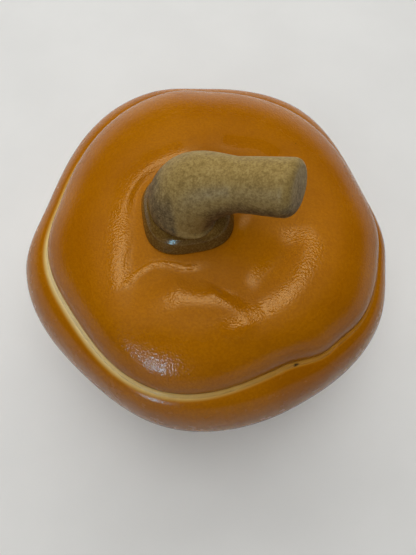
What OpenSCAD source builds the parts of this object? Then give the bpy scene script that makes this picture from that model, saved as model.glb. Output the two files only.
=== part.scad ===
// Lidded ceramic pumpkin jar: ribbed bowl on a bare clay foot, lift-off lid, bent stem as its handle.
// Origin at the centre of the foot ring on the table, +Z up, millimetres, front towards -Y.

/* [Bowl] */
// Nominal diameter at the widest line
belly_d = 150; // [138:1:164]
// Height of the widest line above the table
belly_z = 40; // [36:0.5:44]
// Nominal diameter of the mouth at the outer edge of its rim
mouth_d = 126; // [118:1:134]
// Height of the rim, where the lid rests
seam_z = 63.5; // [60:0.5:68]
// Offset of the mouth from the foot axis in X
mouth_x = 2.5; // [0:0.5:4]
// Offset of the mouth from the foot axis in Y
mouth_y = 0.5; // [-2:0.5:2]
// Fullness of the shoulder between the widest line and the rim, as a power
shoulder_power = 1.9; // [1.6:0.1:2.6]
// Fullness of the underside between the widest line and the foot, as a power
under_power = 2.1; // [2:0.1:3]
// Diameter of the flat underside
base_d = 80; // [76:1:96]
// Wall thickness
bowl_wall = 5; // [4:0.5:6.5]
// Thickness of the floor
floor_t = 6; // [4:0.5:9]
// Rounding of the rim edges
rim_round = 0.8; // [0.4:0.1:1.2]
// Depth of the straight throat inside the rim
throat_h = 8; // [7:0.5:11]

/* [Ribs] */
// Largest offset of a rib or groove at the widest line
belly_swing = 7; // [0:0.5:8]
// Largest offset of a rib or groove at the mouth
mouth_swing = 4; // [0:0.5:5]
// Largest offset of a rib or groove at the edge of the dish around the stem
dish_swing = 7; // [0:0.5:9]

/* [Foot] */
// Outer diameter of the foot ring
foot_d = 72; // [64:1:75]
// Radial width of the foot ring
foot_w = 6; // [4:0.5:10]
// Height of the foot ring
foot_h = 3; // [2:0.5:5]
// Bevel on the edges of the foot ring that meet the table
foot_bevel = 0.8; // [0.3:0.1:1.2]

/* [Lid] */
// Nominal height of the crest around the dish
crest_z = 78.5; // [77.5:0.5:84]
// Largest rise or drop of the crest at a rib or groove
crest_swing = 1; // [0:0.25:2]
// Nominal diameter of the crest around the dish
dish_d = 73; // [68:1:78]
// Width of the slope from the crest down to the floor of the dish
dish_run = 11; // [6:0.5:14]
// Position of the dish in X
dish_x = 2; // [-1:0.5:4]
// Position of the dish in Y
dish_y = -5; // [-7:0.5:0]
// Height of the floor of the dish, where the stem sits
seat_z = 77.5; // [75:0.5:79]
// Fullness of the dome between its edge and the crest, as a power
dome_power = 1.9; // [1.4:0.1:2.4]
// Step from the edge of the rim in to the edge of the lid
lid_inset = 1.2; // [0.8:0.1:2]
// Bevel under the edge of the lid
lid_bevel = 0.8; // [0.4:0.1:1.5]
// Thickness of the lid
lid_wall = 5; // [4:0.5:6]

/* [Locating flange] */
// Depth of the flange below the lid
flange_h = 6; // [4:0.5:6.5]
// Radial width of the flange
flange_w = 4; // [3:0.5:5]
// Clearance between the flange and the throat of the bowl
flange_clearance = 0.8; // [0.4:0.1:1.5]

/* [Stem] */
// Position of the stem in X
stem_x = -6.5; // [-8:0.5:0]
// Position of the stem in Y
stem_y = -2; // [-4:0.5:0]
// Diameter of the collar at the seat
collar_d = 33.6; // [31:0.2:36]
// Height of the collar
collar_h = 6.5; // [5:0.5:9]
// Offset of the four corners of the collar from its round
collar_swing = 0.9; // [0:0.1:1.5]
// Flat margin of the seat outside the collar
seat_margin = 1; // [0.5:0.25:2]
// Diameter of the horn at its root
root_d = 27; // [25:0.5:28.5]
// Offset of the root from the middle of the collar, towards the side where the horn bulges over it
root_shift = 1; // [0:0.2:2]
// Share by which the root is narrower on the side that the horn bends to
root_pinch = 0.25; // [0.2:0.05:0.4]
// Diameter of the horn at its neck
neck_d = 16.6; // [15:0.2:19]
// Diameter of the horn at its tip
tip_d = 17; // [15:0.2:20]
// Depth of the crease between the collar and the horn
crease = 1.6; // [0.6:0.1:2]
// Bulge of the horn above the crease
heel = 0.8; // [0:0.1:1.5]
// Sideways bow of the horn half way along
horn_bow = 1.2; // [0:0.2:3]
// Horizontal distance from the root to the tip of the horn
horn_reach = 30.5; // [28:0.5:33]
// Rise from the root to the tip of the horn
horn_rise = 21.5; // [21:0.5:28]
// Compass direction in which the horn bends, anticlockwise from +X
horn_turn = -13; // [-60:1:60]
// Upward slope of the horn at its tip
tip_slope = 20; // [5:1:25]
// Angle by which the end of the horn is cut away from square, seen from above
tip_cut = 10; // [0:1:25]
// Rounding of the edge at the tip
tip_round = 3; // [1:0.25:4]

/* [Hidden] */

// Points in each ring of a skin
segs = 72;
turns = [for (i = [0:segs - 1]) i * 360 / segs];

// Shares of the swings at ribs and grooves going round: azimuth, share
belly_shares = [
  [18, -0.8], [64, 0.9], [93, 0.6], [112, 1], [166, -0.6], [192, 0.15], [230, -0.4],
  [262, 0], [296, -0.1], [330, 0.3], [352, -0.15]
];
mouth_shares = [
  [18, -0.6], [64, 0.1], [88, 0.1], [108, 0.8], [168, -0.55], [194, 0.25], [216, -0.1],
  [252, 0.8], [294, -0.6], [310, 0.3], [326, 0.75], [350, 0.3]
];
dish_shares = [
  [18, 0.2], [64, -0.6], [93, -0.5], [166, -0.6], [192, -0.4], [230, 0.8], [254, -0.8],
  [272, -0.8], [296, 0.4], [350, 0.3]
];
crest_shares = [
  [18, -0.5], [64, -0.2], [112, 0.1], [192, 0], [230, -0.2], [254, 0.7], [272, 0.7],
  [296, 0.1], [320, 0.6], [350, 0.3]
];

mouth_c = [mouth_x, mouth_y];
dish_c = [dish_x, dish_y];
stem_c = [stem_x, stem_y];
floor_z = foot_h + floor_t;
throat_z = seam_z - throat_h;
landing_w = bowl_wall + flange_clearance + flange_w;
collar_z = seat_z + collar_h;

// Steps along the curved stretches of the profiles
under_steps = [1, 0.87, 0.74, 0.61, 0.48, 0.36, 0.24, 0.12, 0];
shoulder_steps = [0.14, 0.28, 0.42, 0.55, 0.67, 0.78, 0.89, 1];
dome_steps = [0.1, 0.22, 0.36, 0.5, 0.64, 0.78, 0.9, 1];
dish_steps = [0.15, 0.3, 0.45, 0.6, 0.75, 0.88, 1];

// Power that keeps the crest of the dish broad and its foot tight
dish_skew = 1.3;

horn_steps = concat([0, 0.02, 0.04, 0.06, 0.09, 0.12], [for (i = [4:26]) i / 26]);
tip_angles = [30, 60, 90];

// Points in each ring of the horn
horn_segs = 36;

// Blunt corners of the collar and the azimuth of the first one
collar_corners = 4;
collar_turn = 55;

// Azimuth at which the horn bulges most over the collar
crease_turn = -50;
root_c = stem_c + root_shift * [cos(crease_turn), sin(crease_turn)];

// Profile of the collar from the seat up: share of the way in to the root of the horn, share of its height
collar_profile = [[0.07, 0], [0, 0.1], [0.15, 0.4], [0.4, 0.75], [0.75, 0.94], [0.95, 1]];

function ease(u) = (1 - cos(180 * u)) / 2;
function toward(az) = [cos(az), sin(az)];
function at_z(p, z) = [p[0], p[1], z];
function reversed(list) = [for (i = [len(list) - 1:-1:0]) list[i]];

// Row of a table of shares at or before an azimuth
function rib_row(table, az, i = 0) =
  i + 1 < len(table) && az >= table[i + 1][0] ? rib_row(table, az, i + 1) : i;

// Share of a swing at an azimuth, eased between a rib and the next groove
function rib_share(table, azimuth) =
  let (
    az = azimuth < table[0][0] ? azimuth + 360 : azimuth,
    row = rib_row(table, az),
    a = table[row],
    b = table[(row + 1) % len(table)],
    span = (b[0] - a[0] + 360) % 360
  )
  a[1] + (b[1] - a[1]) * ease((az - a[0]) / span);

// Plan outlines, each drawn in by an inset
function base_pt(az, inset) = (base_d / 2 - inset) * toward(az);
function belly_pt(az, inset) =
  (belly_d / 2 + belly_swing * rib_share(belly_shares, az) - inset) * toward(az);
function mouth_pt(az, inset) =
  mouth_c + (mouth_d / 2 + mouth_swing * rib_share(mouth_shares, az) - inset) * toward(az);
function crest_pt(az) = dish_c + (dish_d / 2 + dish_swing * rib_share(dish_shares, az)) * toward(az);
function crest_at(az) = crest_z + crest_swing * rib_share(crest_shares, az);
function collar_corner(az) = collar_swing * cos(collar_corners * (az - collar_turn));
function collar_pt(az, inset) = stem_c + (collar_d / 2 + collar_corner(az) - inset) * toward(az);
function seat_pt(az) = collar_pt(az, -seat_margin);

// Share of the way from the crest to the seat at which the floor of the dish starts
function foot_share(az) =
  let (way = norm(seat_pt(az) - crest_pt(az)))
  min(dish_run, way - seat_margin) / way;

// Rings of the bowl: underside, shoulder and flat rings at the rim
function under_ring(t, inset, bottom_z) =
  let (
    out = pow(cos(90 * t), 2 / under_power),
    down = pow(sin(90 * t), 2 / under_power)
  )
  [for (az = turns) at_z(
    base_pt(az, inset) + (belly_pt(az, inset) - base_pt(az, inset)) * out,
    belly_z - (belly_z - bottom_z) * down
  )];
function shoulder_ring(t, inset, top_z) =
  let (
    out = pow(cos(90 * t), 2 / shoulder_power),
    up = pow(sin(90 * t), 2 / shoulder_power)
  )
  [for (az = turns) at_z(
    mouth_pt(az, inset) + (belly_pt(az, inset) - mouth_pt(az, inset)) * out,
    belly_z + (top_z - belly_z) * up
  )];
function rim_ring(inset, z) = [for (az = turns) at_z(mouth_pt(az, inset), z)];

// Rings of the lid: dome from its edge to the crest, slope of the dish from there to its floor, seat
function dome_ring(t, inset, edge_z, thickness) =
  let (
    out = pow(cos(90 * t), 2 / dome_power),
    up = pow(sin(90 * t), 2 / dome_power)
  )
  [for (az = turns) at_z(
    crest_pt(az) + (mouth_pt(az, inset) - crest_pt(az)) * out,
    edge_z + (crest_at(az) - thickness - edge_z) * up
  )];
function dish_ring(t, thickness) =
  [for (az = turns) at_z(
    crest_pt(az) + (seat_pt(az) - crest_pt(az)) * t * foot_share(az),
    crest_at(az) - (crest_at(az) - seat_z) * ease(pow(t, dish_skew)) - thickness
  )];
function seat_ring(thickness) = [for (az = turns) at_z(seat_pt(az), seat_z - thickness)];

// Centre line of the horn in its own upright plane: distance from the root, height above it
neck_at = 0.68;
taper_power = 1.2;
crease_t = 0.05;
heel_at = 0.09;
root_pull = 0.62 * horn_rise;
tip_pull = 0.55 * horn_reach;
horn_line = [
  [0, 0],
  [0, root_pull],
  [horn_reach - tip_pull * cos(tip_slope), horn_rise - tip_pull * sin(tip_slope)],
  [horn_reach, horn_rise]
];
function horn_pt(t) =
  pow(1 - t, 3) * horn_line[0] + 3 * t * pow(1 - t, 2) * horn_line[1]
  + 3 * t * t * (1 - t) * horn_line[2] + pow(t, 3) * horn_line[3];
function horn_dir(t) =
  let (
    d = pow(1 - t, 2) * (horn_line[1] - horn_line[0]) + 2 * t * (1 - t) * (horn_line[2] - horn_line[1])
      + t * t * (horn_line[3] - horn_line[2])
  )
  d / norm(d);
function taper(t) =
  t < neck_at
  ? neck_d / 2 + (root_d - neck_d) / 2 * pow(cos(90 * t / neck_at), taper_power)
  : neck_d / 2 + (tip_d - neck_d) / 2 * ease((t - neck_at) / (1 - neck_at));

// Radius of the horn, with the crease and the bulge above it on one side of its root
function lip(az) = (1 + cos(az - crease_turn)) / 2;
function horn_r(t, az) =
  taper(t)
  + lip(az) * (heel * exp(-pow((t - heel_at) / crease_t, 2)) - crease * exp(-pow(t / crease_t, 2)));

// Ring of the horn square to its centre line, drawn in and pushed along it by small distances
function horn_ring(t, inset = 0, push = 0) =
  let (
    p = horn_pt(t),
    d = horn_dir(t),
    pinch = t < neck_at ? root_pinch * (1 - ease(t / neck_at)) : 0,
    shear = t < neck_at ? 0 : tan(tip_cut) * ease((t - neck_at) / (1 - neck_at))
  )
  [for (i = [0:horn_segs - 1])
    let (
      az = i * 360 / horn_segs,
      out = horn_r(t, az + horn_turn) - inset,
      inward = out * cos(az) * (1 - pinch * pow(max(0, cos(az)), 2)),
      along = push + shear * out * sin(az),
      across = p[0] + along * d[0] + inward * d[1],
      side = horn_bow * sin(180 * t) + out * sin(az),
      up = p[1] + along * d[1] - inward * d[0]
    )
    at_z(root_c + across * toward(horn_turn) + side * toward(horn_turn + 90), collar_z + up)
  ];

// Ring of the collar, a share of the way from its foot to the root of the horn
function root_pt(az) = root_c + horn_r(0, az) * toward(az);
function collar_ring(share, z) =
  [for (az = turns) at_z(collar_pt(az, 0) + (root_pt(az) - collar_pt(az, 0)) * share, z)];

// Closed skin over rings of equal count, the first closed by a face below and the last by one above
module skin(rings) {
  n = len(rings[0]);
  last = len(rings) - 1;
  polyhedron(
    points = [for (r = rings) each r],
    faces = concat(
      [[for (i = [0:n - 1]) i]],
      [for (k = [0:last - 1], i = [0:n - 1]) [k * n + i, (k + 1) * n + i, (k + 1) * n + (i + 1) % n]],
      [for (k = [0:last - 1], i = [0:n - 1]) [k * n + i, (k + 1) * n + (i + 1) % n, k * n + (i + 1) % n]],
      [[for (i = [n - 1:-1:0]) last * n + i]]
    )
  );
}

module bowl() {
  edge = (1 - cos(45)) * rim_round;
  color([0.58, 0.36, 0.06])
    skin(concat(
      [for (t = under_steps) under_ring(t, 0, foot_h)],
      [for (t = shoulder_steps) shoulder_ring(t, 0, seam_z - rim_round)],
      [
        rim_ring(edge, seam_z - edge),
        rim_ring(rim_round, seam_z),
        rim_ring(bowl_wall - rim_round, seam_z),
        rim_ring(bowl_wall, seam_z - rim_round)
      ],
      [for (t = reversed(shoulder_steps)) shoulder_ring(t, bowl_wall, throat_z)],
      [for (t = reversed(under_steps)) under_ring(t, bowl_wall, floor_z)]
    ));
}

module foot_ring() {
  outer = foot_d / 2;
  inner = outer - foot_w;
  color([0.80, 0.70, 0.55])
    rotate_extrude($fn = 96)
      polygon([
        [inner + foot_bevel, 0],
        [outer - foot_bevel, 0],
        [outer, foot_bevel],
        [outer, foot_h],
        [inner, foot_h],
        [inner, foot_bevel]
      ]);
}

module lid() {
  color([0.60, 0.38, 0.07])
    skin(concat(
      [seat_ring(lid_wall)],
      [for (t = reversed(dish_steps)) dish_ring(t, lid_wall)],
      [for (t = reversed(dome_steps)) dome_ring(t, landing_w, seam_z, lid_wall)],
      [
        rim_ring(landing_w, seam_z),
        rim_ring(lid_inset + lid_bevel, seam_z),
        rim_ring(lid_inset, seam_z + lid_bevel)
      ],
      [for (t = dome_steps) dome_ring(t, lid_inset, seam_z + lid_bevel, 0)],
      [for (t = dish_steps) dish_ring(t, 0)],
      [seat_ring(0)]
    ));
}

module locating_flange() {
  outer = bowl_wall + flange_clearance;
  color([0.72, 0.58, 0.36])
    translate([0, 0, seam_z - flange_h])
      linear_extrude(flange_h)
        difference() {
          polygon([for (az = turns) mouth_pt(az, outer)]);
          polygon([for (az = turns) mouth_pt(az, landing_w)]);
        }
}

module stem_collar() {
  color([0.28, 0.20, 0.11])
    skin([for (p = collar_profile) collar_ring(p[0], seat_z + p[1] * collar_h)]);
}

module stem() {
  color([0.46, 0.40, 0.24])
    skin(concat(
      [for (t = horn_steps) horn_ring(t)],
      [for (a = tip_angles) horn_ring(1, tip_round * (1 - cos(a)), tip_round * sin(a))]
    ));
}

bowl();
foot_ring();
lid();
locating_flange();
stem_collar();
stem();
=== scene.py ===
"""Looks of the ceramic pumpkin jar: glazed bowl and lid, speckled stem and bare clay foot."""

import math

import bpy
import numpy as np
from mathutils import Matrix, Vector


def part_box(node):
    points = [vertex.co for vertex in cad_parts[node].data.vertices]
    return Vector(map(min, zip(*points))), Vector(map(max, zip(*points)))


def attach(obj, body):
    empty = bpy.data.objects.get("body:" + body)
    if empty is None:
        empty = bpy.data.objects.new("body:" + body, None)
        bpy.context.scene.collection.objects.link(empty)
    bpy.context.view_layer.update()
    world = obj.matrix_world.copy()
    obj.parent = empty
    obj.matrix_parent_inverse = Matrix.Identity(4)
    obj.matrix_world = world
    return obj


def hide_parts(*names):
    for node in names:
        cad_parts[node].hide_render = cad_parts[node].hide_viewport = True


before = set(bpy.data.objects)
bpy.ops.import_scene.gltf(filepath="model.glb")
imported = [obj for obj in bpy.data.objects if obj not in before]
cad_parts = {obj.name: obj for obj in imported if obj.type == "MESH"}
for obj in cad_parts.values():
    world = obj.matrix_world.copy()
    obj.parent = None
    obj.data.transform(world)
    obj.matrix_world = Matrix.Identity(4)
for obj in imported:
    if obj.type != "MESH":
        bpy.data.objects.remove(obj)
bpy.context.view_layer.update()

MM = 0.001

# Heights that the solids give, in millimetres
FOOT_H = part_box("foot_ring")[1].z / MM
FLANGE_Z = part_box("locating_flange")[0].z / MM
SEAM_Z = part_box("lid")[0].z / MM
SEAT_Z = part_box("stem_collar")[0].z / MM
COLLAR_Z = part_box("stem")[0].z / MM
FOOT_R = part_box("foot_ring")[1].x / MM

# Bowl, in millimetres and powers, as the solids are made
BELLY_D = 150
BELLY_Z = 40
MOUTH_D = 126
MOUTH_C = np.array([2.5, 0.5])
SHOULDER_POWER = 1.9
UNDER_POWER = 2.1
BASE_D = 80
BOWL_WALL = 5
FLOOR_T = 6
RIM_ROUND = 0.8
THROAT_H = 8

# Ribs: largest offsets, and their shares at ribs and grooves going round by azimuth
BELLY_SWING = 7
MOUTH_SWING = 4
DISH_SWING = 7
CREST_SWING = 1
BELLY_SHARES = [
    (18, -0.8), (64, 0.9), (93, 0.6), (112, 1), (166, -0.6), (192, 0.15), (230, -0.4),
    (262, 0), (296, -0.1), (330, 0.3), (352, -0.15),
]
MOUTH_SHARES = [
    (18, -0.6), (64, 0.1), (88, 0.1), (108, 0.8), (168, -0.55), (194, 0.25), (216, -0.1),
    (252, 0.8), (294, -0.6), (310, 0.3), (326, 0.75), (350, 0.3),
]
DISH_SHARES = [
    (18, 0.2), (64, -0.6), (93, -0.5), (166, -0.6), (192, -0.4), (230, 0.8), (254, -0.8),
    (272, -0.8), (296, 0.4), (350, 0.3),
]
CREST_SHARES = [
    (18, -0.5), (64, -0.2), (112, 0.1), (192, 0), (230, -0.2), (254, 0.7), (272, 0.7),
    (296, 0.1), (320, 0.6), (350, 0.3),
]

# Lid
CREST_Z = 78.5
DISH_D = 73
DISH_C = np.array([2, -5])
DISH_RUN = 11
DISH_SKEW = 1.3
DOME_POWER = 1.9
LID_INSET = 1.2
LID_BEVEL = 0.8
LID_WALL = 5
FLANGE_W = 4
FLANGE_CLEARANCE = 0.8
LANDING_W = BOWL_WALL + FLANGE_CLEARANCE + FLANGE_W

# Foot
FOOT_W = 6
FOOT_BEVEL = 0.8

# Stem
STEM_C = np.array([-6.5, -2])
COLLAR_D = 33.6
COLLAR_SWING = 0.9
COLLAR_CORNERS = 4
COLLAR_TURN = 55
SEAT_MARGIN = 1
ROOT_D = 27
ROOT_SHIFT = 1
ROOT_PINCH = 0.25
NECK_D = 16.6
TIP_D = 17
CREASE = 1.6
CREASE_TURN = -50
CREASE_T = 0.05
HEEL = 0.8
HEEL_AT = 0.09
HORN_BOW = 1.2
HORN_REACH = 30.5
HORN_RISE = 21.5
HORN_TURN = -13
TIP_SLOPE = 20
TIP_CUT = 10
TIP_ROUND = 3
NECK_AT = 0.68
TAPER_POWER = 1.2
ROOT_PULL = 0.62 * HORN_RISE
TIP_PULL = 0.55 * HORN_REACH

# Points round the large skins and round the stem
ROUND = np.arange(0, 360, 0.75)
STEM_ROUND = np.arange(0, 360, 2)


def ease(u):
    return (1 - np.cos(np.pi * u)) / 2


def fade(x, start, end):
    """0 before start and 1 after end, or the other way round, with soft ends."""
    u = np.clip((x - start) / (end - start), 0, 1)
    return u * u * (3 - 2 * u)


def toward(az):
    return np.stack([np.cos(np.radians(az)), np.sin(np.radians(az))], -1)


def facing(az, centre, power=1):
    """1 at an azimuth, falling to 0 on the far side."""
    return ((1 + np.cos(np.radians(az - centre))) / 2) ** power


def rib_share(table, az):
    """Share of a swing at each azimuth, eased between a rib and the next groove."""
    at, share = np.array(table + [(table[0][0] + 360, table[0][1])]).T
    az = np.where(az < at[0], az + 360, az)
    row = np.searchsorted(at, az, side="right") - 1
    u = (az - at[row]) / (at[row + 1] - at[row])
    return between(share[row], share[row + 1], ease(u))


def out_from(centre, radius, az):
    return centre + (np.zeros(len(az)) + radius)[:, None] * toward(az)


def base_pt(az, inset):
    return out_from(0, BASE_D / 2 - inset, az)


def belly_pt(az, inset):
    return out_from(0, BELLY_D / 2 + BELLY_SWING * rib_share(BELLY_SHARES, az) - inset, az)


def mouth_pt(az, inset):
    return out_from(MOUTH_C, MOUTH_D / 2 + MOUTH_SWING * rib_share(MOUTH_SHARES, az) - inset, az)


def crest_pt(az):
    return out_from(DISH_C, DISH_D / 2 + DISH_SWING * rib_share(DISH_SHARES, az), az)


def crest_at(az):
    return CREST_Z + CREST_SWING * rib_share(CREST_SHARES, az)


def collar_corner(az):
    return COLLAR_SWING * np.cos(np.radians(COLLAR_CORNERS * (az - COLLAR_TURN)))


def collar_pt(az, inset):
    return out_from(STEM_C, COLLAR_D / 2 + collar_corner(az) - inset, az)


def seat_pt(az):
    return collar_pt(az, -SEAT_MARGIN)


def ring(xy, z):
    return np.column_stack([xy, np.zeros(len(xy)) + z])


def between(a, b, share):
    return a + (b - a) * share


def under_ring(t, inset, bottom_z):
    out = math.cos(math.pi / 2 * t) ** (2 / UNDER_POWER)
    down = math.sin(math.pi / 2 * t) ** (2 / UNDER_POWER)
    xy = between(base_pt(ROUND, inset), belly_pt(ROUND, inset), out)
    return ring(xy, between(BELLY_Z, bottom_z, down))


def shoulder_ring(t, inset, top_z):
    out = math.cos(math.pi / 2 * t) ** (2 / SHOULDER_POWER)
    up = math.sin(math.pi / 2 * t) ** (2 / SHOULDER_POWER)
    xy = between(mouth_pt(ROUND, inset), belly_pt(ROUND, inset), out)
    return ring(xy, between(BELLY_Z, top_z, up))


def rim_ring(inset, z):
    return ring(mouth_pt(ROUND, inset), z)


def dome_ring(t, inset, edge_z, thickness):
    out = math.cos(math.pi / 2 * t) ** (2 / DOME_POWER)
    up = math.sin(math.pi / 2 * t) ** (2 / DOME_POWER)
    xy = between(crest_pt(ROUND), mouth_pt(ROUND, inset), out)
    return ring(xy, between(edge_z, crest_at(ROUND) - thickness, up))


def dish_ring(t, thickness):
    crest, seat = crest_pt(ROUND), seat_pt(ROUND)
    way = np.hypot(*(seat - crest).T)
    foot = np.minimum(DISH_RUN, way - SEAT_MARGIN) / way
    xy = between(crest, seat, (t * foot)[:, None])
    return ring(xy, between(crest_at(ROUND), SEAT_Z, ease(t**DISH_SKEW)) - thickness)


def corner(r, steps=5):
    """Shares (1 - sine, 1 - cosine) of a rounded corner's radius, from its start to its end."""
    turn = np.linspace(0, math.pi / 2, steps)
    return [(r * (1 - math.sin(a)), r * (1 - math.cos(a))) for a in turn]


def centre_of(points):
    return np.mean(points, axis=0)


def skin(name, rings, loop=False, attributes=None):
    """Smooth quad skin over rings of equal count, ends closed to a centre point or joined as a loop."""
    rings = np.array(rings)
    rows, n = rings.shape[:2]
    points = rings.reshape(-1, 3)
    values = {key: np.array(v, float).reshape(-1) for key, v in (attributes or {}).items()}
    faces = []
    for k in range(rows if loop else rows - 1):
        low, high = k * n, (k + 1) % rows * n
        for i in range(n):
            j = (i + 1) % n
            faces.append((low + i, low + j, high + j, high + i))
    if not loop:
        ends = [centre_of(rings[0]), centre_of(rings[-1])]
        first, last = len(points), len(points) + 1
        points = np.vstack([points, ends])
        for key, v in values.items():
            values[key] = np.append(v, [v[0], v[-1]])
        top = (rows - 1) * n
        for i in range(n):
            j = (i + 1) % n
            faces.append((first, j, i))
            faces.append((last, top + i, top + j))
    mesh = bpy.data.meshes.new(name)
    mesh.from_pydata((points * MM).tolist(), [], faces)
    mesh.shade_smooth()
    for key, v in values.items():
        mesh.attributes.new(key, "FLOAT", "POINT").data.foreach_set("value", v)
    piece = bpy.data.objects.new(name, mesh)
    bpy.context.scene.collection.objects.link(piece)
    return piece


def dress(piece, body, node, material):
    """Puts a piece in its node's place, on that node's body, with its material."""
    piece.data.materials.append(material)
    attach(piece, body)
    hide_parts(node)


# Materials

class Nodes:
    """Short calls that add nodes to a shader tree."""

    def __init__(self, tree):
        self.tree = tree

    def add(self, kind, **settings):
        node = self.tree.nodes.new(kind)
        for key, value in settings.items():
            setattr(node, key, value)
        return node

    def feed(self, socket, value):
        """Links an output to a socket, or sets a plain value on it."""
        if isinstance(value, bpy.types.NodeSocket):
            self.tree.links.new(value, socket)
        elif isinstance(value, tuple) and len(value) == 3 and socket.type == "RGBA":
            socket.default_value = (*value, 1)
        else:
            socket.default_value = value

    def remap(self, value, low, high, to_low=0.0, to_high=1.0):
        node = self.add("ShaderNodeMapRange", interpolation_type="SMOOTHSTEP")
        self.feed(node.inputs["Value"], value)
        for key, v in {"From Min": low, "From Max": high, "To Min": to_low, "To Max": to_high}.items():
            node.inputs[key].default_value = v
        return node.outputs["Result"]

    def maths(self, operation, a, b):
        node = self.add("ShaderNodeMath", operation=operation)
        self.feed(node.inputs[0], a)
        self.feed(node.inputs[1], b)
        return node.outputs["Value"]

    def along(self, axis, place):
        node = self.add("ShaderNodeSeparateXYZ")
        self.feed(node.inputs["Vector"], place)
        return node.outputs[axis]

    def rays(self):
        """1 on rays from the camera, and 1 on rays that gloss or glass sends on."""
        path = self.add("ShaderNodeLightPath").outputs
        sent_on = self.maths("MAXIMUM", path["Is Glossy Ray"], path["Is Transmission Ray"])
        return path["Is Camera Ray"], sent_on


class Paint(Nodes):
    """A node material with a Principled shader, and short calls for the nodes that feed it."""

    def __init__(self, name, ior=1.33):
        self.material = bpy.data.materials.new(name)
        self.material.use_nodes = True
        super().__init__(self.material.node_tree)
        self.shader = self.tree.nodes["Principled BSDF"]
        self.shader.inputs["IOR"].default_value = ior
        self.place = self.add("ShaderNodeTexCoord").outputs["Object"]

    def noise(self, size_mm, detail=2, roughness=0.5):
        node = self.add("ShaderNodeTexNoise")
        self.feed(node.inputs["Vector"], self.place)
        node.inputs["Scale"].default_value = 1 / (size_mm * MM)
        node.inputs["Detail"].default_value = detail
        node.inputs["Roughness"].default_value = roughness
        return node.outputs["Fac"]

    def cells(self, size_mm):
        node = self.add("ShaderNodeTexVoronoi")
        self.feed(node.inputs["Vector"], self.place)
        node.inputs["Scale"].default_value = 1 / (size_mm * MM)
        return node.outputs["Distance"], node.outputs["Color"]

    def attribute(self, name):
        return self.add("ShaderNodeAttribute", attribute_name=name).outputs["Fac"]

    def mix(self, share, a, b):
        node = self.add("ShaderNodeMix", data_type="RGBA")
        self.feed(node.inputs["Factor"], share)
        self.feed(node.inputs["A"], a)
        self.feed(node.inputs["B"], b)
        return node.outputs["Result"]

    def ramp(self, value, stops):
        node = self.add("ShaderNodeValToRGB")
        self.feed(node.inputs["Fac"], value)
        elements = node.color_ramp.elements
        while len(elements) < len(stops):
            elements.new(1)
        for element, (at, colour) in zip(elements, stops):
            element.position = at
            element.color = (*colour, 1)
        return node.outputs["Color"]

    def bump(self, height, depth_mm, onto=None):
        node = self.add("ShaderNodeBump")
        node.inputs["Distance"].default_value = depth_mm * MM
        self.feed(node.inputs["Height"], height)
        if onto:
            self.feed(node.inputs["Normal"], onto)
        return node.outputs["Normal"]

    def finish(self, colour, roughness, normal):
        self.feed(self.shader.inputs["Base Color"], colour)
        self.feed(self.shader.inputs["Roughness"], roughness)
        self.feed(self.shader.inputs["Normal"], normal)
        return self.material


def amber_glaze(name, sheen, peel_depth):
    """Satin amber glaze: mottled and grainy, pale where it runs thin on an edge, a few pinholes."""
    p = Paint(name, 1.3)
    amber = p.mix(p.remap(p.noise(38, 3), 0.35, 0.65), (0.364, 0.119, 0.0003), (0.432, 0.151, 0.0006))
    grain = p.remap(p.noise(0.9, 2), 0.3, 0.7, 0.0, 0.4)
    amber = p.mix(grain, amber, (0.275, 0.079, 0.0003))
    thin = p.ramp(p.attribute("thin_glaze"), [
        (0.0, (0.40, 0.13, 0.0005)),
        (0.25, (0.44, 0.17, 0.008)),
        (0.5, (0.53, 0.28, 0.055)),
        (0.75, (0.65, 0.44, 0.15)),
        (1.0, (0.80, 0.64, 0.33)),
    ])
    colour = p.mix(p.remap(p.attribute("thin_glaze"), 0.02, 0.2), amber, thin)
    distance, pick = p.cells(7)
    pinhole = p.maths("MULTIPLY", p.remap(distance, 0.035, 0.06, 1.0, 0.0), p.remap(pick, 0.78, 0.8))
    # dark marks: pinholes, the bowl's rim chip, and painted shade along the lid's front edge
    marks_and_painted_shade = p.maths("MAXIMUM", pinhole, p.attribute("dark"))
    colour = p.mix(marks_and_painted_shade, colour, (0.03, 0.014, 0.004))
    satin = p.remap(p.noise(5, 3), 0.3, 0.7, sheen, sheen + 0.06)
    roughness = p.maths("ADD", satin, p.maths("MULTIPLY", p.attribute("dull"), 0.42))
    peel = p.bump(p.noise(0.65, 0), peel_depth)
    normal = p.bump(p.noise(6, 2), 0.03, peel)
    return p.finish(colour, roughness, normal)


def olive_glaze():
    """Speckled olive-tan glaze of the horn, darker and browner towards its root, with painted shade
    under its arm.
    """
    p = Paint("olive_glaze")
    coarse = p.noise(1.5, 4, 0.7)
    fine = p.noise(0.6, 2, 0.6)
    speckle = p.maths("ADD", p.maths("MULTIPLY", coarse, 0.6), p.maths("MULTIPLY", fine, 0.4))
    tan = p.ramp(speckle, [
        (0.34, (0.18, 0.115, 0.034)),
        (0.46, (0.27, 0.18, 0.056)),
        (0.54, (0.33, 0.228, 0.074)),
        (0.68, (0.42, 0.31, 0.12)),
    ])
    brown = p.ramp(speckle, [
        (0.36, (0.055, 0.032, 0.011)),
        (0.5, (0.15, 0.10, 0.038)),
        (0.68, (0.33, 0.24, 0.105)),
    ])
    patchy = p.remap(p.noise(9, 3), 0.3, 0.7, -0.15, 0.15)
    # the "root" attribute: dark glaze up the left flank, and painted shade under the arm
    root = p.remap(p.maths("ADD", p.attribute("root"), patchy), 0.15, 0.95)
    colour = p.mix(root, tan, brown)
    roughness = p.remap(speckle, 0.35, 0.65, 0.56, 0.46)
    normal = p.bump(speckle, 0.06)
    return p.finish(colour, roughness, normal)


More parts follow.
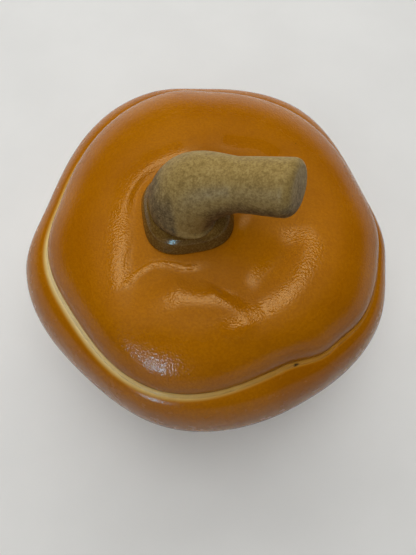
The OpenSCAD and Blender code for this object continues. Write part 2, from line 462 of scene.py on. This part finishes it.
def brown_glaze():
    """Dark glossy glaze of the collar with a dense fine speckle, amber where it meets the lid."""
    p = Paint("brown_glaze")
    fine = p.noise(0.55, 3, 0.65)
    speckle = p.ramp(fine, [
        (0.36, (0.10, 0.05, 0.009)),
        (0.5, (0.15, 0.08, 0.016)),
        (0.66, (0.24, 0.15, 0.042)),
    ])
    colour = p.mix(p.attribute("thin_glaze"), speckle, (0.42, 0.24, 0.06))
    roughness = p.remap(fine, 0.35, 0.65, 0.16, 0.26)
    normal = p.bump(p.noise(1.6, 2), 0.05, p.bump(fine, 0.03))
    return p.finish(colour, roughness, normal)


def bare_clay(name, light, dark):
    """Unglazed sandy clay with grog specks and a rough face."""
    p = Paint(name)
    body = p.mix(p.remap(p.noise(12, 4), 0.35, 0.65), dark, light)
    grog = p.remap(p.noise(0.8, 3, 0.7), 0.56, 0.66)
    colour = p.mix(grog, body, tuple(c * 0.62 for c in dark))
    roughness = p.remap(p.noise(2, 2), 0.3, 0.7, 0.78, 0.92)
    normal = p.bump(p.noise(0.7, 4, 0.7), 0.12)
    return p.finish(colour, roughness, normal)


# Bowl

# Glaze: roughness, and depth of its orange peel
BOWL_SHEEN = 0.22
BOWL_PEEL = 0.045

# Rim where the glaze breaks pale: reach down the outside, width of the palest line, share inside it
RIM_FADE = 3.4
RIM_LINE = 2.0
RIM_INSIDE = 0.5

# The rim is palest at the front left and faint on the right
RIM_AZ = 210
RIM_POWER = 1.8
RIM_LEAST = 0.15

# Dark chip on the rim
CHIP_AZ = 298
CHIP_W = 0.9


def make_bowl():
    rings, thin = [], []
    pale = between(RIM_LEAST, 1, facing(ROUND, RIM_AZ, RIM_POWER))

    def lay(points, share):
        rings.append(points)
        thin.append(share * pale)

    for t in np.linspace(1, 0, 40)[:-1]:
        lay(under_ring(t, 0, FOOT_H), 0)
    top_z = SEAM_Z - RIM_ROUND
    for t in np.linspace(0, 1, 48)[:-1]:
        points = shoulder_ring(t, 0, top_z)
        drop = np.hypot(*(points[:, :2] - mouth_pt(ROUND, 0)).T) + top_z - points[:, 2]
        lay(points, fade(drop, RIM_FADE * pale, 0))
    for out, up in corner(RIM_ROUND):
        lay(rim_ring(up, SEAM_Z - out), 1)
    for inset in np.linspace(RIM_ROUND, BOWL_WALL - RIM_ROUND, 12)[1:-1]:
        lay(rim_ring(inset, SEAM_Z), between(RIM_INSIDE, 1, fade(inset, RIM_LINE, RIM_ROUND)))
    for out, up in reversed(corner(RIM_ROUND)):
        lay(rim_ring(BOWL_WALL - up, SEAM_Z - out), RIM_INSIDE)
    throat_z = SEAM_Z - THROAT_H
    for z in np.linspace(top_z, throat_z, 8)[1:-1]:
        lay(rim_ring(BOWL_WALL, z), RIM_INSIDE * fade(top_z - z, RIM_FADE, 0))
    for t in np.linspace(1, 0, 32)[:-1]:
        lay(shoulder_ring(t, BOWL_WALL, throat_z), 0)
    floor_z = FOOT_H + FLOOR_T
    for t in np.linspace(0, 1, 36):
        lay(under_ring(t, BOWL_WALL, floor_z), 0)

    rings = np.array(rings)
    chip_in = 0.3 * RIM_ROUND
    chip_at = np.append(mouth_pt(np.array([CHIP_AZ]), chip_in)[0], SEAM_Z - chip_in)
    away = np.linalg.norm(rings - chip_at, axis=2)
    chip = fade(away, CHIP_W, 0.5 * CHIP_W)
    piece = skin("bowl_shell", rings, attributes={"thin_glaze": thin, "dark": chip})
    glaze = amber_glaze("amber_glaze_bowl", BOWL_SHEEN, BOWL_PEEL)
    dress(piece, "bowl", "bowl", glaze)


# Lid

# Glaze: roughness, and depth of its orange peel
LID_SHEEN = 0.17
LID_PEEL = 0.085

# Soft ridges around the stem, as lines on the plan: line, width, height
RIDGES = [
    ([(-28, -32), (-23.5, -25.5), (-18, -21.5), (-13, -21.5), (-7, -23), (-1.5, -22.5)], 1.3, 0.22),
    ([(0, -31), (7, -32), (13, -35)], 3.0, 0.5),
    ([(16, -41), (12.5, -44.5), (4, -46.5)], 2.6, 0.5),
]

# Line of the soft groove between the front rib and the right one
FOLD = [(10.5, -23), (22.5, -43.5), (26, -50.5)]
FOLD_W = 2.2
FOLD_DEPTH = 0.25

# Length over which ridges, groove and smooth lines fade at their ends
LINE_FADE = 4

# Painted shade as a dark band along the front of the lid's edge: share, height, azimuth and falloff
EDGE_SHADE_SHARE = 0.45
EDGE_SHADE_H = 3.5
EDGE_SHADE_AZ = 250
EDGE_SHADE_POWER = 3

# Lines where the glaze of the dish lies smooth, while it is dull between them: width, line
SMOOTH = [
    (5.0, [(-6, 26), (-20, 19.5), (-28, 10), (-30, 0), (-30, -12), (-29.5, -22), (-27.5, -33)]),
    (1.8, [(-28, -32), (-23.5, -25.5), (-18, -21.5), (-13, -21.5), (-7, -23), (0, -22)]),
    (3.6, [(-15, -37), (-8.5, -33.5), (-2, -33.5), (6, -34), (12.5, -37), (14, -39.5),
           (11, -42.5), (3, -45)]),
    (2.8, [(13.5, -31), (18, -24), (23.5, -19)]),
    (4.0, [(24, -11), (34.5, -11.5), (37.5, -16.5), (34, -22.5), (29.5, -29.5), (24.5, -34.5),
           (11, -42)]),
    (1.8, [(16, -1.5), (12.5, -7), (12, -11), (7.5, -18.5)]),
    (4.0, [(4, 29), (20.5, 26.5), (29, 20)]),
]

# Least smoothness at the ends of those lines, and shares of the way up the dome where dullness sets in
SMOOTH_END = 0.3
DULL_START = 0.6
DULL_END = 0.95


def along_line(xy, line):
    """Distance from a line on the plan, and a share that fades towards the line's ends."""
    line = np.array(line, float)
    away = np.full(len(xy), np.inf)
    run = np.zeros(len(xy))
    start = 0.0
    for a, b in zip(line[:-1], line[1:]):
        span = b - a
        length = np.hypot(*span)
        u = np.clip((xy - a) @ span / length**2, 0, 1)
        off = xy - a - u[:, None] * span
        d = np.hypot(*off.T)
        near = d < away
        away = np.where(near, d, away)
        run = np.where(near, start + u * length, run)
        start += length
    return away, fade(np.minimum(run, start - run), 0, LINE_FADE)


def lid_relief(xy):
    """Height in millimetres that the ridges add and the groove takes."""
    z = np.zeros(len(xy))
    for line, width, height in RIDGES:
        d, share = along_line(xy, line)
        z += height * share * np.exp(-((d / width) ** 2))
    d, share = along_line(xy, FOLD)
    return z - FOLD_DEPTH * share * np.exp(-((d / FOLD_W) ** 2))


def lid_dullness(xy):
    """How dull the glaze is: 0 on the smooth lines, 1 away from them."""
    smooth = np.zeros(len(xy))
    for width, line in SMOOTH:
        d, share = along_line(xy, line)
        smooth = np.maximum(smooth, between(SMOOTH_END, 1, share) * np.exp(-((d / width) ** 4)))
    return 1 - smooth


def make_lid():
    edge_in = LID_INSET + LID_BEVEL
    rings = [ring(seat_pt(ROUND), SEAT_Z - LID_WALL)]
    rings += [dish_ring(t, LID_WALL) for t in np.linspace(1, 0, 12)[:-1]]
    rings += [dome_ring(t, LANDING_W, SEAM_Z, LID_WALL) for t in np.linspace(1, 0, 16)[:-1]]
    rings += [rim_ring(inset, SEAM_Z) for inset in np.linspace(LANDING_W, edge_in, 4)[:-1]]
    rings += [rim_ring(LID_INSET + out, SEAM_Z + up) for out, up in corner(LID_BEVEL)]
    outside = len(rings)
    dome = np.linspace(0, 1, 56)[1:]
    rings += [dome_ring(t, LID_INSET, SEAM_Z + LID_BEVEL, 0) for t in dome]
    rings += [dish_ring(t, 0) for t in np.linspace(0, 1, 40)[1:]]
    foot = rings[-1][:, :2]
    rings += [ring(between(foot, seat_pt(ROUND), t), SEAT_Z) for t in np.linspace(0, 1, 24)[1:]]

    rings = np.array(rings)
    # painted shade: darkens the lid just above its edge, most at the front, laid into the "dark"
    # attribute
    front = facing(ROUND, EDGE_SHADE_AZ, EDGE_SHADE_POWER)
    edge = EDGE_SHADE_SHARE * front * fade(rings[..., 2], SEAM_Z + EDGE_SHADE_H, SEAM_Z)
    dull = np.zeros(rings.shape[:2])
    inward = np.append(fade(dome, DULL_START, DULL_END), np.ones(len(rings) - outside - len(dome)))
    for k, share in enumerate(inward, outside):
        xy = rings[k, :, :2]
        dull[k] = share * lid_dullness(xy)
        rings[k, :, 2] += lid_relief(xy)
    piece = skin("lid_shell", rings, attributes={"dull": dull, "dark": edge})
    glaze = amber_glaze("amber_glaze_lid", LID_SHEEN, LID_PEEL)
    dress(piece, "lid", "lid", glaze)


def make_flange():
    """Ring under the lid that drops into the mouth, with worn edges."""
    soft = 0.9
    outer = BOWL_WALL + FLANGE_CLEARANCE
    rings = [rim_ring(LANDING_W, SEAM_Z), rim_ring(outer, SEAM_Z)]
    rings += [rim_ring(outer, z) for z in np.linspace(SEAM_Z, FLANGE_Z + soft, 8)[1:-1]]
    rings += [rim_ring(outer + up, FLANGE_Z + out) for out, up in corner(soft)]
    rings += [rim_ring(LANDING_W - up, FLANGE_Z + out) for out, up in reversed(corner(soft))]
    rings += [rim_ring(LANDING_W, z) for z in np.linspace(FLANGE_Z + soft, SEAM_Z, 8)[1:-1]]
    piece = skin("flange_ring", rings[::-1], loop=True)
    clay = bare_clay("pale_clay", (0.62, 0.46, 0.26), (0.50, 0.35, 0.18))
    dress(piece, "lid", "locating_flange", clay)


def make_foot():
    """Bare ring under the bowl, its edges worn round."""
    inner = FOOT_R - FOOT_W
    mean = FOOT_R - FOOT_W / 2

    def at(radius, z):
        return ring(out_from(0, radius, ROUND), z)

    rings = [at(inner, FOOT_H), at(mean, FOOT_H), at(FOOT_R, FOOT_H)]
    rings += [at(FOOT_R - up, out) for out, up in corner(FOOT_BEVEL)]
    rings += [at(mean, 0)]
    rings += [at(inner + up, out) for out, up in reversed(corner(FOOT_BEVEL))]
    piece = skin("foot_band", rings[::-1], loop=True)
    clay = bare_clay("bare_clay", (0.66, 0.52, 0.35), (0.55, 0.41, 0.26))
    dress(piece, "bowl", "foot_ring", clay)


# Stem

HORN_LINE = np.array([
    [0, 0],
    [0, ROOT_PULL],
    [
        HORN_REACH - TIP_PULL * math.cos(math.radians(TIP_SLOPE)),
        HORN_RISE - TIP_PULL * math.sin(math.radians(TIP_SLOPE)),
    ],
    [HORN_REACH, HORN_RISE],
])


def horn_pt(t):
    s = 1 - t
    return np.array([s**3, 3 * t * s * s, 3 * t * t * s, t**3]) @ HORN_LINE


def horn_dir(t):
    s = 1 - t
    steps = np.diff(HORN_LINE, axis=0)
    d = s * s * steps[0] + 2 * t * s * steps[1] + t * t * steps[2]
    return d / np.linalg.norm(d)


def taper(t):
    if t < NECK_AT:
        return NECK_D / 2 + (ROOT_D - NECK_D) / 2 * math.cos(math.pi / 2 * t / NECK_AT) ** TAPER_POWER
    return NECK_D / 2 + (TIP_D - NECK_D) / 2 * ease((t - NECK_AT) / (1 - NECK_AT))


def horn_r(t, az):
    """Radius of the horn, with the crease and the bulge above it on one side of its root."""
    lip = facing(az, CREASE_TURN)
    heel = HEEL * math.exp(-(((t - HEEL_AT) / CREASE_T) ** 2))
    return taper(t) + lip * (heel - CREASE * math.exp(-((t / CREASE_T) ** 2)))


ROOT_C = STEM_C + ROOT_SHIFT * toward(CREASE_TURN)


def horn_ring(t, inset=0, push=0):
    """Ring across the horn at a share of its length, drawn in by inset and moved along by push."""
    p, d = horn_pt(t), horn_dir(t)
    sin, cos = np.sin(np.radians(STEM_ROUND)), np.cos(np.radians(STEM_ROUND))
    pinch = ROOT_PINCH * (1 - ease(t / NECK_AT)) if t < NECK_AT else 0
    beyond = max(0, t - NECK_AT) / (1 - NECK_AT)
    shear = math.tan(math.radians(TIP_CUT)) * ease(beyond)
    out = horn_r(t, STEM_ROUND + HORN_TURN) - inset
    inward = out * cos * (1 - pinch * np.maximum(0, cos) ** 2)
    along = push + shear * out * sin
    across = p[0] + along * d[0] + inward * d[1]
    side = HORN_BOW * math.sin(math.pi * t) + out * sin
    up = p[1] + along * d[1] - inward * d[0]
    xy = ROOT_C + np.outer(across, toward(HORN_TURN)) + np.outer(side, toward(HORN_TURN + 90))
    return ring(xy, COLLAR_Z + up)


# Flank of the horn over which the dark glaze runs up: azimuth, start and end of its edge, height
DARK_TURN = 180
DARK_START = 1.0
DARK_END = 5.0
DARK_H = 8

# Side of the horn's arm that is painted darker as shade, to the front and down, and where that sets in
SHADE_DIRECTION = np.array([0, -0.6, -0.8])
ARM_START = 4
ARM_END = 14


def make_stem():
    heel_end = 0.2
    steps = np.append(np.linspace(0, heel_end, 30)[:-1], np.linspace(heel_end, 1, 76))
    rings = [horn_ring(t) for t in steps]
    for a in np.linspace(0, math.pi / 2, 12)[1:]:
        rings.append(horn_ring(1, TIP_ROUND * (1 - math.cos(a)), TIP_ROUND * math.sin(a)))
    rings = np.array(rings)
    out = rings[..., :2] - STEM_C
    height = rings[..., 2] - COLLAR_Z
    flank = fade(out @ toward(DARK_TURN), DARK_START, DARK_END) * fade(height, HORN_RISE, DARK_H)
    below = (rings - rings.mean(axis=1, keepdims=True)) @ SHADE_DIRECTION
    arm = fade(out @ toward(HORN_TURN), ARM_START, ARM_END)
    # dark glaze up the left flank, and painted shade on the underside of the arm
    root = np.maximum(flank, arm * fade(below, 0, 0.9 * NECK_D / 2))
    piece = skin("stem_horn", rings, attributes={"root": root})
    dress(piece, "lid", "stem", olive_glaze())


# Shares of the way from the collar's foot in to the horn, and of its height
COLLAR_PROFILE = np.array([[0.07, 0], [0, 0.1], [0.15, 0.4], [0.4, 0.75], [0.75, 0.94], [0.95, 1]])

# Pale line of thin glaze under the heel of the horn: azimuth and width in degrees, and its share
CRESCENT_AZ = 298
CRESCENT_W = 16
CRESCENT_SHARE = 0.6

# Share of thin glaze along the collar's foot
COLLAR_FOOT_SHARE = 0.8


def make_collar():
    foot = collar_pt(STEM_ROUND, 0)
    root = out_from(ROOT_C, horn_r(0, STEM_ROUND), STEM_ROUND)
    crescent = CRESCENT_SHARE * np.exp(-(((STEM_ROUND - CRESCENT_AZ) / CRESCENT_W) ** 2))
    rings, thin = [], []
    for u in np.linspace(0, len(COLLAR_PROFILE) - 1, 26):
        share, up = (np.interp(u, range(len(COLLAR_PROFILE)), column) for column in COLLAR_PROFILE.T)
        rings.append(ring(between(foot, root, share), between(SEAT_Z, COLLAR_Z, up)))
        thin.append(crescent * fade(up, 0.88, 0.97) + COLLAR_FOOT_SHARE * fade(up, 0.12, 0.02))
    piece = skin("collar_flare", rings, attributes={"thin_glaze": thin})
    dress(piece, "lid", "stem_collar", brown_glaze())


# Floor, light and camera

def make_floor():
    """Pale paper that throws less light back than it shows, with a painted shadow that darkens what it
    throws back in front, and far off runs into the backdrop.
    """
    size = 3.0
    mesh = bpy.data.meshes.new("floor")
    corners = [(-size, -size, 0), (size, -size, 0), (size, size, 0), (-size, size, 0)]
    mesh.from_pydata(corners, [], [(0, 1, 2, 3)])
    floor = bpy.data.objects.new("floor", mesh)
    bpy.context.scene.collection.objects.link(floor)
    p = Paint("floor_paper")
    paper = p.mix(p.remap(p.noise(60, 3), 0.3, 0.7), (0.82, 0.82, 0.81), (0.85, 0.85, 0.84))
    # painted shadow in the light the paper throws back: darker towards the front
    painted_shadow_bounce = p.mix(p.remap(p.along("Y", p.place), -0.13, 0.0), (0.2, 0.2, 0.2), (0.46, 0.46, 0.46))
    seen = p.maths("MAXIMUM", *p.rays())
    away = p.add("ShaderNodeVectorMath", operation="LENGTH")
    p.feed(away.inputs[0], p.place)
    far = p.maths("MULTIPLY", seen, p.remap(away.outputs["Value"], 0.35, 1.2))
    paper = p.mix(far, p.mix(seen, painted_shadow_bounce, paper), (0.0, 0.0, 0.0))
    p.feed(p.shader.inputs["Specular IOR Level"], 0.0)
    p.feed(p.shader.inputs["Emission Color"], (0.78, 0.79, 0.80))
    p.feed(p.shader.inputs["Emission Strength"], far)
    mesh.materials.append(p.finish(paper, 0.9, p.bump(p.noise(0.8, 3), 0.02)))


def area_light(name, place, aim, size, watts, colour, highlight=False):
    """Adds a panel that either lights the surfaces or only makes a highlight in their gloss.

    Cycles keeps a panel out of the gloss only without multiple importance sampling.
    """
    data = bpy.data.lights.new(name, "AREA")
    data.shape = "RECTANGLE"
    data.size, data.size_y = size
    data.energy = watts
    data.color = colour
    data.cycles.use_multiple_importance_sampling = highlight
    lamp = bpy.data.objects.new(name, data)
    lamp.location = place
    lamp.rotation_euler = (Vector(aim) - Vector(place)).to_track_quat("-Z", "Y").to_euler()
    lamp.visible_glossy = highlight
    lamp.visible_diffuse = not highlight
    bpy.context.scene.collection.objects.link(lamp)


def make_light():
    """Wide soft panels, most light from the back and above, and two smaller ones for the highlights."""
    centre = (0, 0, 0.07)
    white = (1.0, 0.995, 0.975)
    area_light("overhead", (0, 0, 1.2), centre, (1.2, 1.2), 7.3, white)
    area_light("back", (-0.1, 1.1, 0.7), centre, (2.4, 1.1), 14.8, white)
    area_light("front_left", (-0.35, -0.7, 0.95), centre, (1.0, 1.0), 3.4, white)
    warm, cool = (1.0, 0.8, 0.42), (0.34, 0.75, 1.0)
    area_light("ceiling", (0.0, 0.22, 0.82), centre, (0.42, 0.28), 3.4, warm, highlight=True)
    area_light("window", (-0.40, -0.84, 0.58), centre, (0.05, 0.30), 4.7, cool, highlight=True)


def make_world():
    """Pale backdrop for the camera, which the gloss sees low down, under a dark ceiling."""
    world = bpy.data.worlds.new("studio")
    world.use_nodes = True
    nodes = Nodes(world.node_tree)
    camera, gloss = nodes.rays()
    direction = nodes.add("ShaderNodeTexCoord").outputs["Generated"]
    low = nodes.remap(nodes.along("Z", direction), 0.05, 0.3, 1.0, 0.0)
    seen = nodes.maths("MAXIMUM", camera, nodes.maths("MULTIPLY", gloss, low))
    background = world.node_tree.nodes["Background"]
    nodes.feed(background.inputs["Color"], (0.98, 0.99, 1.0))
    nodes.feed(background.inputs["Strength"], nodes.remap(seen, 0.0, 1.0, 0.01, 0.8))
    bpy.context.scene.world = world


def make_camera():
    """The photograph's view, from close above, with one image width of focal length."""
    data = bpy.data.cameras.new("camera")
    frame_w, frame_h, focal_px = 416, 555, 416
    data.sensor_width = 36
    data.lens = data.sensor_width * focal_px / max(frame_w, frame_h)
    data.clip_start = 0.01
    camera = bpy.data.objects.new("camera", data)
    camera.location = (0.0008, -0.0739, 0.2079)
    off_vertical = 20
    camera.rotation_euler = (math.radians(off_vertical), 0, 0)
    bpy.context.scene.collection.objects.link(camera)
    bpy.context.scene.camera = camera


bpy.context.scene.view_settings.view_transform = "Standard"
make_camera()
make_bowl()
make_foot()
make_lid()
make_flange()
make_collar()
make_stem()
make_floor()
make_light()
make_world()
